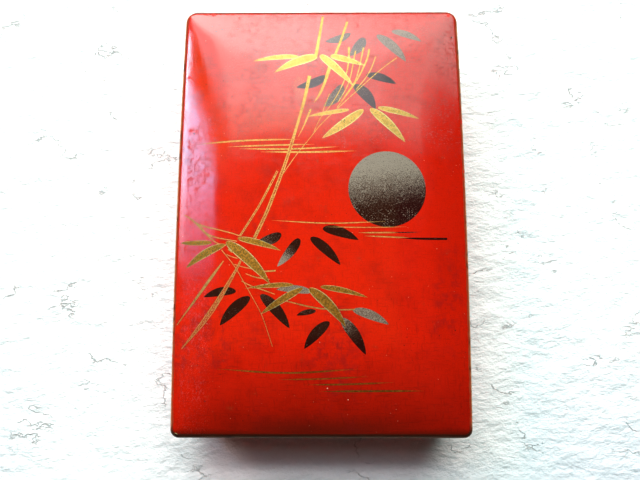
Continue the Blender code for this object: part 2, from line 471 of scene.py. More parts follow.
# The black and grey leaves of the lower spray
DARK_LEAVES = [
    dark_leaf((-21.4, -13.6), (-34.4, -17.8), 5.6, 0.9, tones=(0.05, 0.5)),
    dark_leaf((-11.6, -16.2), (-23.4, -31.2), 5.2, 0.4, blunt=0.45, tones=(-0.35, 1.3)),
    dark_leaf((-5.6, -15.4), (10.2, -30.4), 5.4, 0.9, blunt=0.5),
    dark_leaf((0.9, -10.4), (19.9, -16.8), 5.4, 1.0, blunt=0.5),
    dark_leaf((-45.2, -44.2), (-62.5, -47.1), 4.7, -1.2),
    dark_leaf((-37.8, -47.2), (-53.4, -62.2), 6.2, -1.0),
    dark_leaf((-32.0, -46.0), (-16.6, -63.8), 6.0, 1.0, tones=(0.25, -0.1)),
    dark_leaf((-2.8, -54.8), (-13.0, -57.1), 2.9, -0.4, tones=(0.2, 0.0)),
    dark_leaf((4.2, -60.4), (-8.8, -74.4), 5.6, -0.9, tones=(0.1, -0.05)),
    dark_leaf((10.6, -58.6), (23.2, -77.4), 6.0, 0.9, blunt=0.5, tones=(0.7, -0.4)),
    dark_leaf((16.6, -54.2), (35.4, -61.8), 5.0, 1.1, tones=(0.75, 0.7)),
    dark_leaf((-5.2, -44.8), (-23.8, -43.4), 4.2, -0.9, tones=(0.85, 0.75)),
]

# The branches of the lower spray, and the fine lines that trail from it
LOWER_FAN = [
    stroke([(-75.2, -1.8), (-72.0, -3.6), (-68.0, -6.8), (-63.0, -8.8), (-55.0, -10.9),
            (-47.0, -13.2), (-43.8, -14.4)], [0.4, 1.0, 0.8, 0.6, 0.6, 0.5]),
    stroke([(-69.5, -5.6), (-66.0, -9.0), (-62.0, -12.8), (-57.0, -14.9), (-51.0, -16.2),
            (-45.2, -17.3)], [0.8, 1.2, 0.7, 0.6, 0.5]),
    stroke([(-66.0, -9.0), (-62.6, -12.6), (-58.0, -16.9), (-54.4, -18.8), (-50.0, -19.4)],
           [0.6, 0.8, 0.6, 0.5]),
    stroke([(-50.8, -24.4), (-47.6, -25.8), (-44.6, -26.6)], [0.5]),
    stroke([(-46.4, -29.8), (-42.0, -31.2), (-37.0, -32.3), (-31.5, -33.7), (-24.2, -33.4)],
           [0.4, 0.5, 0.8, 0.8]),
    stroke([(-40.2, -34.9), (-35.0, -36.8), (-27.4, -38.1)], [0.4, 0.7, 0.5]),
    stroke([(-42.4, -38.8), (-39.0, -40.6), (-36.0, -42.0), (-31.0, -43.6), (-24.4, -46.0)],
           [0.4, 0.6, 0.6, 0.4]),
    stroke([(-18.4, -49.6), (-10.0, -51.7), (-5.0, -52.8), (2.0, -53.8), (9.0, -54.2),
            (17.8, -54.0)], [0.5, 0.7, 0.7, 0.7, 0.7]),
    stroke([(-53.6, -21.8), (-46.2, -31.0), (-40.2, -41.0), (-36.8, -46.8), (-31.0, -57.6),
            (-25.4, -73.4)], [0.5, 0.4, 0.35, 0.35, 0.3]),
    stroke([(-50.0, -21.4), (-47.8, -23.2)], [0.9, 0.7]),
]

# Two long narrow leaves that hang from the lower spray
LOWER_BLADES = [
    stroke([(-52.3, -27.8), (-58.0, -35.6), (-66.0, -46.8), (-77.0, -61.8)], [0.5, 1.6, 1.4, 0.9, 0.4]),
    stroke([(-43.0, -27.8), (-45.6, -33.2), (-54.0, -48.0), (-62.2, -59.8), (-73.9, -74.4)],
           [0.6, 0.9, 2.1, 2.0, 1.4, 0.2], DUST),
    stroke([(-43.4, -27.8), (-46.2, -33.2), (-55.0, -47.6), (-63.0, -59.4), (-73.9, -74.4)], [0.4]),
    stroke([(-42.8, -28.2), (-45.2, -33.4), (-53.0, -48.4), (-61.2, -60.6), (-73.9, -74.4)], [0.4]),
]

# The gold leaves of the lower spray, in a darker gold that paints their shade
LOWER_LEAVES = [
    shaded_gold_leaf((-59.2, -17.7), (-76.2, -17.4), 2.6, 0.1, blunt=0.35, point=0.5),
    shaded_gold_leaf((-51.6, -18.9), (-73.0, -31.3), 4.3, -1.5, blunt=0.55),
    shaded_gold_leaf((-51.2, -17.4), (-27.2, -40.4), 6.0, 1.6, point=0.85),
    shaded_gold_leaf((-45.0, -15.6), (-21.6, -22.6), 3.4, 0.8, point=0.9),
    shaded_gold_leaf((-14.6, -41.0), (-41.2, -43.0), 2.6, -0.6, blunt=0.6, point=1.3),
    shaded_gold_leaf((-9.8, -42.8), (-31.8, -56.4), 3.8, -0.6),
    shaded_gold_leaf((-0.4, -42.0), (24.8, -47.8), 3.0, 0.8, point=0.95),
    shaded_gold_leaf((-6.4, -42.8), (12.9, -63.0), 5.6, 1.5, point=0.85),
]

# The level lines of mist at the reader's end, in a darker gold that paints their shade
LOWER_MIST = [
    mist(-54.2, -84.8, 19.2, -84.8, 0.75, 2.0, SHADED_GOLD),
    mist(-22.4, -90.2, 24.4, -88.6, 0.6, 0.4, SHADED_GOLD),
    mist(-8.4, -92.9, 37.4, -91.6, 0.7, 0.3, SHADED_GOLD),
    mist(-0.4, -96.2, 53.2, -95.9, 0.9, 0.0, SHADED_GOLD),
]

# Every painted shape, from the one laid down first to the one on top
PICTURE = [
    *FAR_LEAVES, *DARK_LEAVES, moon(),
    *UPPER_MIST, *UPPER_STEMS, *UPPER_FAN, *UPPER_LEAVES, *MOON_MIST,
    *LOWER_FAN, *LOWER_BLADES, *LOWER_LEAVES, *LOWER_MIST,
]


# The meshes

def grid_points():
    """A staggered grid over the top, in millimetres, clear of its edge."""
    rows = []
    inset = EDGE_INSET / MM + GRID_MARGIN_MM
    half_length = HALF_LENGTH / MM - inset
    corner = FAR_CORNER_RADIUS / MM
    row_count = int(2 * half_length / GRID_MM)
    for row in range(row_count + 1):
        y = -half_length + 2 * half_length * row / row_count
        half_width = HALF_WIDTH / MM - inset - BOW_RATE / MM * (y * MM) ** 2
        into_corner = max(0.0, abs(y) - (half_length - corner))
        half_width -= corner - math.sqrt(max(corner ** 2 - into_corner ** 2, 0.0))
        shift = GRID_MM / 2 * (row % 2)
        width = 2 * (half_width - shift)
        count = int(width / GRID_MM)
        rows += [(-half_width + shift + width * i / count, y) for i in range(count + 1)]
    return rows


def painted_top(shapes):
    """Cuts the shapes' outlines into the top. Returns places in metres, triangles, the
    shape that shows on each triangle, or None, and the places along the top's edge."""
    ring = [(x / MM, y / MM) for x, y in plan_outline(EDGE_INSET)]
    places = list(ring) + grid_points()
    loops = [list(range(len(ring)))]
    for shape in shapes:
        first = len(places)
        places += shape.outline
        loops.append(list(range(first, len(places))))
        places += shape.spine
    inside = 1
    found = delaunay_2d_cdt([Vector(p) for p in places], [], loops, inside, MERGE_MM)
    new_places, _, triangles, sources, _, holders = found
    tops = [max(held) - 1 if held else -1 for held in holders]
    edge = {old: new for new, olds in enumerate(sources) for old in olds if old < len(ring)}
    return (
        [(p.x * MM, p.y * MM) for p in new_places],
        triangles,
        [shapes[top] if top >= 0 else None for top in tops],
        [edge[old] for old in range(len(ring))],
    )


CHIP_CENTRE = Vector((-0.0756, -0.1184, 0.0542))
CHIP_RADIUS = 0.0014
CHIP_DEPTH = 0.0004
CHIP_INWARD = Vector((0.55, 0.6, -0.6)).normalized()


def chipped(point):
    """Sinks the surface around the chip in the near left corner."""
    away = (Vector(point) - CHIP_CENTRE).length / CHIP_RADIUS
    if away >= 1:
        return point
    return tuple(Vector(point) + CHIP_INWARD * CHIP_DEPTH * (1 - away ** 2) ** 1.5)


# extra wear at the reader's end, which also stands for painted shade on the edge there
NEAR_END_WEAR_AND_SHADE = 0.1
NEAR_END_REACH = 0.6 * NEAR_CORNER_RADIUS
WEAR_START = 0.15      # the share of the shoulder over which the near end's extra wear and painted shade set in
WORN_THROUGH = 0.22
WEAR_DEPTH = 0.0012    # how far down the side the wear reaches
CEILING_SHARE = 0.97   # how far towards the crown the ceiling's rings go


def worn_share(turn, y):
    """How worn the shoulder is where it has turned this far: most where it meets the side,
    and more at the reader's end, where the extra wear also paints shade on the edge."""
    share = max(0.0, (turn - EDGE_SLOPE) / (QUARTER - EDGE_SLOPE))
    near = min(max((-y - (HALF_LENGTH - NEAR_CORNER_RADIUS)) / NEAR_END_REACH, 0.0), 1.0)
    return share + NEAR_END_WEAR_AND_SHADE * near * min(share / WEAR_START, 1.0)


def add_painted_top(shell):
    """Adds the top. Returns the ring along its edge and each face corner's paint."""
    places, triangles, shown, ring = painted_top(PICTURE)
    shell.points = [(x, y, EDGE_Z + dome_height(x, y)) for x, y in places]
    shell.normals = [dome_normal(x, y) for x, y in places]
    shell.worn = [0.0] * len(places)
    paint = []
    for triangle, shape in zip(triangles, shown):
        (ax, ay), (bx, by), (cx, cy) = (places[i] for i in triangle)
        up = (bx - ax) * (cy - ay) - (by - ay) * (cx - ax) > 0
        corners = tuple(triangle if up else reversed(triangle))
        shell.faces.append(corners)
        shell.finishes.append(shape.finish if shape else LACQUER)
        for i in corners:
            x, y = places[i]
            tone, outward = shape.shade(x / MM, y / MM) if shape else (0.0, 0.0)
            paint.append((tone, outward, 0.0))
    return ring, paint


def add_shoulder(shell, ring):
    """The worn rounding round the top, and a band below it over which the wear fades."""
    foot_z = EDGE_Z - SHOULDER_RADIUS * math.cos(EDGE_SLOPE)
    edge_tops = [EDGE_Z + dome_height(x, y) for x, y in plan_outline(EDGE_INSET)]
    rows = rounding(SHOULDER_RADIUS, foot_z, SHOULDER_RADIUS, EDGE_SLOPE, QUARTER, SHOULDER_STEPS)
    for row in rows[1:]:
        points, normals = ring_from_row(row)
        share = math.cos(row[2]) / math.cos(EDGE_SLOPE)
        raised = [
            chipped((x, y, foot_z + (top - foot_z) * share))
            for (x, y, _), top in zip(points, edge_tops)
        ]
        lower = shell.add_ring(raised, normals, [worn_share(row[2], p[1]) for p in points])
        shell.join_worn(ring, lower)
        ring = lower
    lower = shell.add_ring(*ring_from_row((0.0, foot_z - WEAR_DEPTH, QUARTER)))
    shell.join(ring, lower, LACQUER)
    return lower


def add_skirt(shell, ring):
    """The sides and the worn rim, up to the seat of the ceiling inside."""
    for row in rim_rows(0.0, LID_WALL, LID_RIM_Z, math.pi):
        turn = row[2]
        lower = shell.add_ring(*ring_from_row(row), 1.0 if turn > QUARTER else 0.0)
        worn = WORN_EDGE if turn <= math.pi else INSIDE
        shell.join(ring, lower, LACQUER if turn == QUARTER else worn)
        ring = lower
    lower = shell.add_ring([(x, y, CEILING_Z) for x, y in plan_outline(LID_WALL)])
    shell.join(ring, lower, INSIDE)
    return lower


def add_ceiling(shell, ring):
    """The domed ceiling inside."""
    room = (HALF_WIDTH - SEAT_INSET) * CEILING_SHARE
    for step in range(CEILING_STEPS):
        outline = plan_outline(SEAT_INSET + room * step / (CEILING_STEPS - 1))
        points = [(x, y, CEILING_Z + dome_height(x, y, SEAT_INSET)) for x, y in outline]
        lower = shell.add_ring(points)
        shell.join(ring, lower, INSIDE)
        ring = lower
    shell.close(ring, INSIDE, -1)


def lid_mesh(materials):
    """The lid: painted top, shoulder, skirt, rim, and the black hollow underneath."""
    shell = Shell()
    ring, paint = add_painted_top(shell)
    ring = add_shoulder(shell, ring)
    ring = add_skirt(shell, ring)
    add_ceiling(shell, ring)
    unpainted = sum(len(face) for face in shell.faces) - len(paint)
    paint += [(0.0, 0.0, 0.0)] * unpainted
    return shell.made("lacquered_lid", materials, paint)


def body_mesh(materials):
    """The box: black floor and walls inside, vermilion outside, black underneath."""
    shell = Shell()
    inner = BODY_INSET + BODY_WALL
    rows = rounding(inner + FLOOR_COVE, FLOOR_THICKNESS + FLOOR_COVE, -FLOOR_COVE, 0.0, -QUARTER)
    rows += reversed(rim_rows(BODY_INSET, inner, BODY_HEIGHT, 0.0))
    rows += rounding(BODY_INSET + FOOT_RADIUS, FOOT_RADIUS, FOOT_RADIUS, QUARTER, math.pi)
    ring = None
    for row in rows:
        on_rim = row[1] > BODY_HEIGHT - RIM_RADIUS / 2
        lower = shell.add_ring(*ring_from_row(row), 1.0 if on_rim else 0.0)
        if ring is None:
            shell.close(lower, INSIDE, 1)
        else:
            outside = row[2] >= QUARTER / 2
            shell.join(ring, lower, LACQUER if outside else INSIDE)
        ring = lower
    shell.close(ring, INSIDE, -1)
    return shell.made("lacquered_box", materials)


# Materials

class Nodes:
    """Short calls for building one material's nodes. Sockets are named with _ for a space."""

    def __init__(self, name):
        self.material = bpy.data.materials.new(name)
        self.material.use_nodes = True
        self.tree = self.material.node_tree
        self.shader = self.tree.nodes["Principled BSDF"]
        self.place = self.node("TexCoord").outputs["Object"]
        self.across, self.along, self.up = self.split(self.place)

    def link(self, value, socket):
        if isinstance(value, bpy.types.NodeSocket):
            self.tree.links.new(value, socket)
        else:
            socket.default_value = value

    def fill(self, node, **values):
        for name, value in values.items():
            self.link(value, node.inputs[name.replace("_", " ")])

    def node(self, kind, **values):
        node = self.tree.nodes.new("ShaderNode" + kind)
        self.fill(node, **values)
        return node

    def set(self, **values):
        self.fill(self.shader, **values)

    def split(self, vector):
        return self.node("SeparateXYZ", Vector=vector).outputs

    def paint(self):
        """The tone of the shape here, and how far out from a leaf's middle line this is."""
        tone, outward, _ = self.split(self.attribute("paint").outputs["Vector"])
        return tone, outward

    def attribute(self, name):
        node = self.node("Attribute")
        node.attribute_name = name
        return node

    def noise(self, scale, detail=2.0, roughness=0.5, vector=None):
        vector = vector or self.place
        node = self.node("TexNoise", Vector=vector, Scale=scale, Detail=detail, Roughness=roughness)
        return node.outputs["Fac"]

    def operate(self, kind, operation, a, b):
        node = self.node(kind)
        node.operation = operation
        self.link(a, node.inputs[0])
        self.link(b, node.inputs[1])
        return node.outputs

    def math(self, operation, a, b=0.0):
        return self.operate("Math", operation, a, b)[0]

    plus = partialmethod(math, "ADD")
    minus = partialmethod(math, "SUBTRACT")
    times = partialmethod(math, "MULTIPLY")
    most = partialmethod(math, "MAXIMUM")

    def scaled(self, factors):
        return self.operate("VectorMath", "MULTIPLY", self.place, factors)[0]

    def ramp(self, value, low, high, to_low=0.0, to_high=1.0):
        """value carried from low..high to to_low..to_high, smoothly and no further."""
        node = self.node(
            "MapRange", Value=value, From_Min=low, From_Max=high, To_Min=to_low, To_Max=to_high)
        node.interpolation_type = "SMOOTHSTEP"
        return node.outputs["Result"]

    def mix(self, share, a, b, kind="RGBA"):
        node = self.node("Mix")
        node.data_type = kind
        self.fill(node, Factor=share, A=a, B=b)
        return node.outputs["Result"]

    def near(self, centre, radius, core=0.55):
        """1 around a place on the object, up to core of the radius, and 0 beyond the radius."""
        away = self.operate("VectorMath", "DISTANCE", self.place, centre)["Value"]
        return self.ramp(away, radius * core, radius, 1.0, 0.0)

    def bump(self, height, distance, strength=1.0):
        node = self.node("Bump", Height=height, Distance=distance, Strength=strength)
        self.set(Normal=node.outputs["Normal"])


def colour(r, g, b):
    return (r, g, b, 1.0)


# Lacquer and its wear, and the darker reds that paint shade on the top
VERMILION = colour(0.705, 0.0155, 0.0014)
DEEP_VERMILION = colour(0.5, 0.01, 0.0012)
# painted shade for the reader's end of the top
SHADED_RED = colour(0.2, 0.004, 0.0012)
SCUFFED = colour(0.24, 0.0095, 0.01)
RUBBED = colour(0.34, 0.036, 0.009)
TAN_EDGE = colour(0.52, 0.25, 0.12)
# the dark coat under the red, also used for painted shade at the reader's end
UNDERCOAT_AND_SHADE = colour(0.03, 0.0075, 0.003)
BARE_GROUND = colour(0.8, 0.56, 0.26)
GRIME = colour(0.06, 0.004, 0.002)
PALE_SPECK = colour(0.9, 0.42, 0.28)
BLACK, BROWN_BLACK = colour(0.006, 0.005, 0.005), colour(0.016, 0.01, 0.008)
GLOSS = 0.09
HIGHLIGHT_SOFTNESS, PIT_SOFTNESS = 0.18, 0.08
LACQUER_IOR = 1.65
TOP_SHADE_DROP = 0.0003    # how far down the shoulder the painted shade of the top stays full

# Powders
# the first colour is a painted highlight for the leaves' edges
GOLD_EDGE_HIGHLIGHT, GOLD_PIT = colour(1.0, 0.64, 0.3), colour(0.1, 0.05, 0.012)
GOLD_BODY, GOLD_SHADE = colour(0.98, 0.425, 0.143), colour(0.74, 0.29, 0.083)
# a darker copy of the gold: painted shade
SHADED_GOLD_BODY, SHADED_GOLD_DEEP = colour(0.88, 0.295, 0.048), colour(0.5, 0.15, 0.02)
DUST_GRAIN, DUST_GROUND = colour(0.84, 0.43, 0.13), colour(0.56, 0.02, 0.003)
BLACK_POWDER, SILVER_POWDER = colour(0.028, 0.003, 0.0024), colour(0.29, 0.204, 0.151)
WARM_BLACK, WARM_SILVER = colour(0.048, 0.003, 0.0024), colour(0.33, 0.215, 0.16)
NEUTRAL, WARM_GLINT = colour(1.0, 1.0, 1.0), colour(1.0, 0.76, 0.8)

# Paper, and the painted shade on it
PAPER, SHADED_NEAR_PAPER = colour(0.97, 0.925, 0.91), colour(0.93, 0.885, 0.88)
SHADED_SIDE_PAPER, CREASE_SHADE = colour(0.73, 0.72, 0.76), colour(0.72, 0.71, 0.69)
PAPER_TURN = (0, 0, math.radians(-28))
PAPER_STRETCH = (1.0, 1.7, 1.0)
RIDGE_HEIGHT = 0.0043

# Small marks on the top: (x, y) in millimetres, and radius
NICKS = [((-75.1, 78.6), 1.3), ((-66.0, 117.6), 1.1), ((-62.6, 117.7), 1.6), ((73.5, 116.6), 1.3)]
DARK_SPECKS = [
    ((75.0, 102.7), 0.6), ((-63.0, 109.5), 0.4), ((-60.5, 106.1), 0.45), ((-59.0, 110.8), 0.4),
    ((-57.1, 107.4), 0.5), ((-47.9, 107.9), 0.45), ((-40.0, 111.3), 0.4), ((-71.2, 44.8), 0.5),
]
PALE_SPECKS = [((3.2, -94.6), 0.4), ((13.9, -100.4), 0.35)]


def marks(n, places):
    """1 on each of the marks."""
    total = 0.0
    for (x, y), radius in places:
        height = EDGE_Z + dome_height(x * MM, y * MM)
        total = n.most(total, n.near((x * MM, y * MM, height), radius * MM))
    return total


def mottled_vermilion(n):
    """Clouded vermilion, with painted shade: deeper on the right, darker towards the reader's end,
    and darkest along the top's edge there.
    """
    on_top = n.ramp(n.up, EDGE_Z - SHOULDER_RADIUS, EDGE_Z - TOP_SHADE_DROP)
    clouds = n.ramp(n.noise(75, 6, 0.62), 0.42, 0.74, 0.0, 0.7)
    red = n.mix(clouds, VERMILION, DEEP_VERMILION)
    # painted shade: deeper towards the right, most near the right edge
    red = n.mix(n.ramp(n.across, -0.01, 0.07, 0.0, 0.35), red, DEEP_VERMILION)
    red = n.mix(n.ramp(n.across, 0.05, 0.078, 0.0, 0.6), red, DEEP_VERMILION)
    # painted shade towards the reader's end of the top, with a ragged limit, a little less at the left
    # edge
    wavy = n.plus(n.along, n.times(n.noise(45, 4), 0.014))
    left_share = n.times(n.ramp(n.across, -0.078, -0.05, 0.62, 1.0), on_top)
    held = n.times(n.ramp(wavy, -0.052, -0.113, 0.0, 0.64), left_share)
    red = n.mix(held, red, SHADED_RED)
    # painted shade, darkest along the top's edge at the reader's end
    middle = n.ramp(n.math("ABSOLUTE", n.across), 0.068, 0.012)
    near_edge_shade = n.times(n.ramp(n.along, -0.104, -0.1175, 0.0, 0.62), middle)
    near_edge_shade = n.most(near_edge_shade, n.ramp(n.along, -0.1135, -0.1195, 0.0, 0.8))
    return n.mix(n.times(near_edge_shade, on_top), red, UNDERCOAT_AND_SHADE)


def scuffs(n):
    """Soft patches of fine scuffs."""
    area = n.ramp(n.noise(26, 3), 0.48, 0.66)
    grain = n.ramp(n.noise(190, 7, 0.72), 0.44, 0.66)
    return n.times(n.times(area, grain), n.ramp(n.along, 0.05, -0.09, 0.45, 0.5))


def hair_lines(n):
    """Fine scratches along the lid and across it."""
    down, level = (
        n.ramp(n.noise(1250, 3, 0.6, n.scaled(stretch)), 0.52, 0.72)
        for stretch in ((1.0, 0.12, 1.0), (0.1, 1.0, 1.0))
    )
    return n.most(down, level)


def pinholes(n):
    area = n.ramp(n.noise(40, 2), 0.46, 0.6)
    holes = n.times(n.ramp(n.noise(1150, 1), 0.73, 0.78), area)
    return n.most(holes, marks(n, DARK_SPECKS))


def pale_specks(n):
    specks = n.ramp(n.noise(1050, 1, 0.5, n.scaled((1.0, -1.0, 1.0))), 0.79, 0.83)
    return n.most(specks, marks(n, PALE_SPECKS))


def rubbed_strip(n):
    """1 on a strip inside the left edge, on all but the far quarter of the lid."""
    strip = n.times(n.ramp(n.across, -0.055, -0.064), n.ramp(n.across, -0.0755, -0.0735))
    return n.times(strip, n.ramp(n.along, 0.06, 0.046))


def rubbed_dull(n, hairs, strip):
    """How much rougher the pores are, and the smudges on the rubbed strip."""
    pores = n.ramp(n.noise(1500, 3, 0.75), 0.57, 0.63)
    pores = n.most(pores, n.times(hairs, 0.4))
    smudges = n.ramp(n.noise(480, 5, 0.75, n.scaled((1.3, 0.8, 1.0))), 0.53, 0.6)
    smudges = n.times(smudges, n.ramp(n.noise(70, 3), 0.38, 0.58, 0.3, 1.0))
    rubbed = n.times(n.most(pores, smudges), strip)
    return n.plus(n.times(rubbed, 0.36), n.times(pores, 0.1))


def brown_flecks(n, hairs, strip):
    """Dull brown grain on the far half of the lid and on part of the rubbed strip."""
    flecks = n.ramp(n.noise(750, 5, 0.75, n.scaled((0.8, 1.3, 1.0))), 0.52, 0.6)
    flecks = n.most(flecks, n.times(hairs, 0.5))
    flecks = n.times(flecks, n.ramp(n.noise(70, 3), 0.4, 0.6, 0.5, 1.0))
    area = n.times(n.ramp(n.along, 0.02, 0.06, 0.1, 0.9), n.ramp(n.across, -0.062, -0.048))
    area = n.plus(area, n.times(strip, n.ramp(n.along, -0.03, 0.0, 0.0, 0.5)))
    return n.times(flecks, area)


def vermilion_colour(n):
    """The lacquer's colour with all of its small marks, and how much rougher they are."""
    scuffed, hairs, pits, strip = scuffs(n), hair_lines(n), pinholes(n), rubbed_strip(n)
    flecks = brown_flecks(n, hairs, strip)
    red = n.mix(scuffed, mottled_vermilion(n), SCUFFED)
    red = n.mix(n.ramp(n.noise(1700, 3, 0.7), 0.44, 0.66, 0.0, 0.16), red, GRIME)
    red = n.mix(n.times(hairs, n.ramp(n.along, 0.0, -0.1, 0.12, 0.28)), red, GRIME)
    red = n.mix(pits, red, UNDERCOAT_AND_SHADE)
    red = n.mix(pale_specks(n), red, PALE_SPECK)
    red = n.mix(n.times(flecks, 0.3), red, GRIME)
    dull = n.plus(rubbed_dull(n, hairs, strip), n.times(n.most(pits, scuffed), 0.08))
    return red, n.plus(dull, n.times(flecks, 0.42))


def ragged_wear(n):
    """How worn the edge is, with a ragged limit."""
    edge = n.attribute("worn").outputs["Fac"]
    rough = n.times(n.minus(n.noise(140, 4, 0.6), 0.5), 0.45)
    return n.plus(edge, rough)


def rubbed_colour(n):
    """Brownish red where the coat is rubbed thin, tan where it is rubbed through, and dark
    at both ends; at the reader's end the dark is painted shade."""
    wear = ragged_wear(n)
    brown = n.mix(n.ramp(wear, 0.34, 0.56), RUBBED, TAN_EDGE)
    # painted shade at the reader's end of the edge
    brown = n.mix(n.ramp(n.along, -0.11, -0.1185, 0.0, 0.9), brown, UNDERCOAT_AND_SHADE)
    brown = n.mix(n.ramp(n.along, 0.1165, 0.1192, 0.0, 0.6), brown, UNDERCOAT_AND_SHADE)
    return n.mix(n.ramp(wear, 0.6, 0.75, 0.0, 0.3), brown, TAN_EDGE)


def vermilion_lacquer():
    """Polished vermilion, worn brown and tan along its edge and chipped in one corner."""
    n = Nodes("vermilion_lacquer")
    fresh, dull = vermilion_colour(n)
    wear = n.ramp(ragged_wear(n), 0.05, 0.2)
    worn = n.mix(wear, fresh, rubbed_colour(n))
    nicks = marks(n, NICKS)
    worn = n.mix(nicks, worn, VERMILION)
    chip = n.near(tuple(CHIP_CENTRE), CHIP_RADIUS)
    chip = n.ramp(n.plus(chip, n.times(n.noise(1500, 2), 0.5)), 0.6, 0.75)
    n.set(Base_Color=n.mix(chip, worn, BARE_GROUND))
    dull = n.plus(dull, n.times(n.most(nicks, chip), 0.5))
    dull = n.plus(dull, n.times(wear, 0.25))
    polish = n.ramp(n.noise(110, 5), 0.3, 0.7, GLOSS - 0.015, GLOSS + 0.025)
    far_left = n.times(n.ramp(n.across, -0.05, -0.066), n.ramp(n.along, 0.06, 0.08))
    polish = n.times(polish, n.ramp(far_left, 0.0, 1.0, 1.0, 0.68))
    n.set(Roughness=n.plus(dull, polish), IOR=LACQUER_IOR)
    ripple = n.plus(n.noise(60, 3), n.times(n.noise(900, 3, 0.6), 0.08))
    n.bump(ripple, 0.00012, 0.5)
    return n.material


def worn_edge():
    """The lid's outermost edge: rubbed dull, brownish red and dark in places."""
    n = Nodes("worn_edge")
    patches = n.noise(110, 4, 0.6)
    brighter = n.mix(n.ramp(patches, 0.6, 0.68, 0.0, 0.8), rubbed_colour(n), VERMILION)
    n.set(Base_Color=n.mix(n.ramp(patches, 0.44, 0.34, 0.0, 0.7), brighter, UNDERCOAT_AND_SHADE))
    n.set(Roughness=0.5, Specular_IOR_Level=0.1)
    return n.material


def gold_powder(name, body, shade, highlight_start, pit_start):
    """Sprinkled gold: a painted highlight along a leaf's edge, duller and specked with dark inside."""
    n = Nodes(name)
    _, outward = n.paint()
    grain = n.noise(1300, 3, 0.65)
    # painted highlight: the leaf's edge is made brighter, as if it caught the light
    rim = n.ramp(n.plus(outward, n.times(grain, 0.25)), highlight_start, highlight_start + HIGHLIGHT_SOFTNESS)
    streaks = n.noise(700, 5, 0.75)
    metal = n.mix(rim, n.mix(n.ramp(streaks, 0.38, 0.62), body, shade), GOLD_EDGE_HIGHLIGHT)
    pits = n.ramp(n.noise(1600, 2), pit_start, pit_start + PIT_SOFTNESS)
    n.set(Base_Color=n.mix(pits, metal, GOLD_PIT))
    n.set(Metallic=n.minus(1.0, n.times(pits, 0.8)))
    n.set(Roughness=n.ramp(grain, 0.3, 0.7, 0.4, 0.58))
    n.bump(grain, 0.00006, 0.6)
    return n.material


def gold_dust():
    """Gold sprinkled over vermilion. The paint's tone says how thickly."""
    n = Nodes("gold_dust")
    tone, _ = n.paint()
    grains = n.plus(n.noise(2600, 3, 0.65), n.times(n.minus(tone, 1.0), 0.2))
    grains = n.ramp(grains, 0.47, 0.57)
    n.set(Base_Color=n.mix(grains, DUST_GROUND, DUST_GRAIN))
    n.set(Metallic=grains, Roughness=n.mix(grains, GLOSS, 0.45, "FLOAT"), IOR=LACQUER_IOR)
    return n.material


def moon_powder(name, black=BLACK_POWDER, silver=SILVER_POWDER, glint=NEUTRAL, sparkle=0.2):
    """Black powder that passes into silver as the tone rises. The glint tints what it
    mirrors."""
    n = Nodes(name)
    tone, _ = n.paint()
    fine = n.minus(n.noise(2300, 2, 0.7), 0.5)
    streaks = n.minus(n.noise(420, 3, 0.6, n.scaled((0.22, 1.6, 1.0))), 0.5)
    grain = n.plus(n.times(fine, 2.5), n.times(streaks, 0.35))
    grain = n.times(grain, n.ramp(tone, -0.3, 0.5, 0.35, 1.0))
    sparks = n.ramp(n.noise(1900, 1), 0.61, 0.68, 0.0, sparkle)
    sparks = n.times(sparks, n.ramp(n.noise(150, 3), 0.42, 0.62, 0.25, 1.2))
    share = n.most(n.ramp(n.plus(tone, grain), 0.16, 1.04), sparks)
    n.set(Base_Color=n.mix(share, black, silver), Specular_Tint=glint)
    n.set(Roughness=n.mix(share, GLOSS, 0.34, "FLOAT"), IOR=LACQUER_IOR)
    return n.material


def black_lacquer():
    """The inside and the underside: plain black lacquer with a soft shine."""
    n = Nodes("black_lacquer")
    n.set(Base_Color=n.mix(n.noise(30, 3), BLACK, BROWN_BLACK))
    n.set(Roughness=n.ramp(n.noise(90, 3), 0.3, 0.7, 0.24, 0.34))
    n.bump(n.noise(60, 2), 0.0001, 0.3)
    return n.material


def pale_floor():
    """White handmade paper, trowelled into low ridges and creases, with painted shade in the
    creases and towards the reader's end, greyer at the sides.
    """
    n = Nodes("pale_floor")
    sheet = n.node("Mapping", Vector=n.place, Rotation=PAPER_TURN, Scale=PAPER_STRETCH).outputs[0]
    crease_line = n.math("ABSOLUTE", n.minus(n.noise(17, 6, 0.62, sheet), 0.5))
    # painted shade in the creases
    creases = n.times(n.ramp(crease_line, 0.008, 0.0), n.ramp(n.noise(30, 3), 0.54, 0.62))
    # painted shade towards the reader's end, darker at the sides
    reader_end = n.ramp(n.along, -0.02, -0.2)
    near_right = n.times(reader_end, n.ramp(n.across, -0.14, 0.0, 0.3, 1.0))
    paper = n.mix(near_right, PAPER, SHADED_NEAR_PAPER)
    sides = n.most(n.ramp(n.across, 0.09, 0.16), n.ramp(n.across, -0.15, -0.2, 0.0, 0.6))
    paper = n.mix(n.times(reader_end, sides), paper, SHADED_SIDE_PAPER)
    n.set(Base_Color=n.mix(creases, paper, CREASE_SHADE), Roughness=0.8)
    n.bump(n.minus(n.noise(42, 9, 0.62, sheet), n.times(creases, 0.18)), RIDGE_HEIGHT)
    return n.material


# Floor, light and camera

